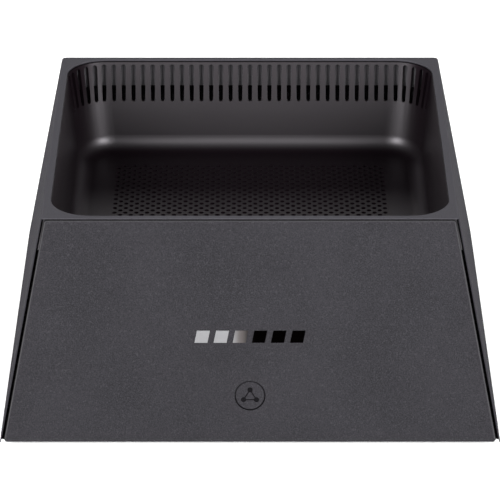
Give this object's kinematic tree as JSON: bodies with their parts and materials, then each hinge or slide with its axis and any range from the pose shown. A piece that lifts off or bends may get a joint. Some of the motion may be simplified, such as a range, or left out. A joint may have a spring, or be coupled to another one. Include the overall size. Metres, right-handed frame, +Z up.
{
  "type": "mesh wifi node",
  "caption": "Low four-sided mesh wifi node with an open slotted tray on top, a sloped front panel with a chrome trim bar and a round pairing button, and a rear port bay",
  "frame": {"origin": "centre of the base outline, on the table under the feet", "axes": "+Z up; the sloped front panel with the button faces -Y; the ports face +Y; +X is to the right seen from the front"},
  "size_m": [0.18, 0.1799, 0.084],
  "materials": {
    "shell_plastic": "fine-grain metallic matte",
    "panel_plastic": "fine-grain metallic matte",
    "tray_plastic": "satin black",
    "chrome_trim": "polished",
    "button_plastic": "satin",
    "icon_plastic": "dark satin print",
    "inner_plastic": "matte",
    "rubber_grey": "matte",
    "board_green": "solder mask",
    "chip_black": "moulded",
    "thermal_grey": "soft",
    "sink_metal": "anodised",
    "shield_metal": "tinned",
    "screw_steel": "zinc",
    "contact_gold": "plated",
    "capacitor_metal": "sleeved can",
    "led_clear": "clear",
    "lead_black": "jacket",
    "ribbon_white": "flat film",
    "label_silver": "matte film",
    "antenna_board": "solder mask"
  },
  "bodies": {
    "root": {"outer_shell": "shell_plastic", "front_panel": "panel_plastic", "tray": "tray_plastic", "floor_grille": "tray_plastic", "trim_bar": "chrome_trim", "panel_screws": "screw_steel", "button_board_screws": "screw_steel", "button_board": "board_green", "button_switch": "chip_black", "status_led": "led_clear", "bottom_cover": "inner_plastic", "rubber_foot_front_left": "rubber_grey", "rubber_foot_front_right": "rubber_grey", "rubber_foot_rear_left": "rubber_grey", "rubber_foot_rear_right": "rubber_grey", "cover_screws": "screw_steel", "tray_screws": "screw_steel", "rating_label": "label_silver", "main_board": "board_green", "board_screws": "screw_steel", "processor": "chip_black", "thermal_pad": "thermal_grey", "heat_sink": "sink_metal", "heat_sink_screws": "screw_steel", "radio_shield_left": "shield_metal", "radio_shield_right": "shield_metal", "memory_chips": "chip_black", "line_transformers": "chip_black", "power_inductors": "chip_black", "capacitors": "capacitor_metal", "port_bezel": "inner_plastic", "wan_jack": "chip_black", "lan_jack_one": "chip_black", "lan_jack_two": "chip_black", "lan_jack_three": "chip_black", "jack_contacts": "contact_gold", "power_jack": "chip_black", "power_pin": "contact_gold", "reset_switch": "chip_black", "antenna_left": "antenna_board", "antenna_right": "antenna_board", "antenna_rear_left": "antenna_board", "antenna_rear_right": "antenna_board", "lead_left": "lead_black", "lead_right": "lead_black", "lead_rear_left": "lead_black", "lead_rear_right": "lead_black", "antenna_sockets": "contact_gold", "button_ribbon": "ribbon_white", "ribbon_sockets": "chip_black"},
    "mesh_button": {"mesh_button": "button_plastic", "button_icon": "icon_plastic", "button_plunger": "inner_plastic"},
    "reset_button": {"reset_button": "button_plastic", "reset_plunger": "inner_plastic"}
  },
  "joints": [
    {"name": "mesh_button_press", "type": "slide", "parent": "root", "child": "mesh_button", "axis": [0, 0.9847, -0.1741], "range_m": [0, 0.0008], "stiffness_N_per_m": 600},
    {"name": "reset_button_press", "type": "slide", "parent": "root", "child": "reset_button", "axis": [0, -1, 0], "range_m": [0, 0.0006], "stiffness_N_per_m": 600}
  ]
}
